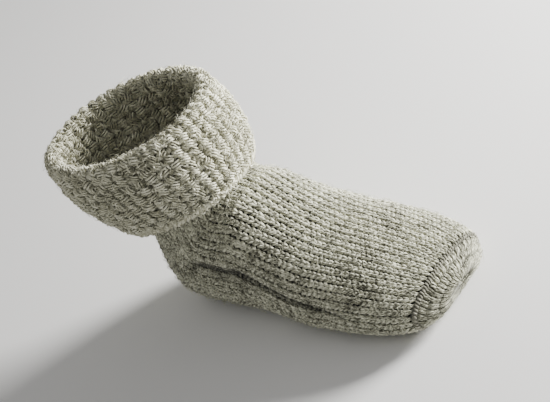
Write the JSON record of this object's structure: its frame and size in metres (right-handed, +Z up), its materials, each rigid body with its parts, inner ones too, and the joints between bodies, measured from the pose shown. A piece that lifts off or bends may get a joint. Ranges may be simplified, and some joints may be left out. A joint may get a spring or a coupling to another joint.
{
  "type": "knitted slipper sock",
  "caption": "Heather wool slipper sock with a thick turned-down loop-pile cuff, knitted wales along the foot, a turned heel and a blunt seamed toe.",
  "frame": {"origin": "on the sole's flat underside, halfway along the foot and in its middle", "axes": "+X from the heel to the toe, +Y to the wearer's left, +Z up from the sole"},
  "size_m": [0.2752, 0.118, 0.1361],
  "materials": {
    "pile_knit": "soft brushed loop pile",
    "foot_knit": "heather stocking stitch",
    "seam_yarn": "twisted wool yarn"
  },
  "bodies": {
    "foot": {"instep": "foot_knit", "heel_flap": "foot_knit", "heel_cup": "foot_knit", "gusset_left": "foot_knit", "gusset_right": "foot_knit", "sole": "foot_knit", "ball_upper": "foot_knit", "ball_sole": "foot_knit"},
    "leg": {"ankle_tube": "foot_knit", "cuff_lining": "pile_knit", "cuff_fold": "pile_knit", "cuff_turnover": "pile_knit", "cuff_edge": "pile_knit"},
    "toe": {"toe_upper": "foot_knit", "toe_sole": "foot_knit", "toe_seam": "seam_yarn", "toe_cap_top": "foot_knit", "toe_cap_under": "foot_knit", "toe_closing": "seam_yarn"}
  },
  "joints": [
    {"name": "ankle_flex", "type": "hinge", "parent": "foot", "child": "leg", "pos_m": [-0.065, 0, 0.062], "axis": [0, 1, 0], "range_deg": [-15, 25], "deforming": ["ankle_tube", "cuff_edge", "cuff_turnover", "instep", "heel_flap"]},
    {"name": "toe_flex", "type": "hinge", "parent": "foot", "child": "toe", "pos_m": [0.052, 0, 0.01], "axis": [0, -1, 0], "range_deg": [-10, 40], "deforming": ["ball_upper", "ball_sole"]}
  ]
}
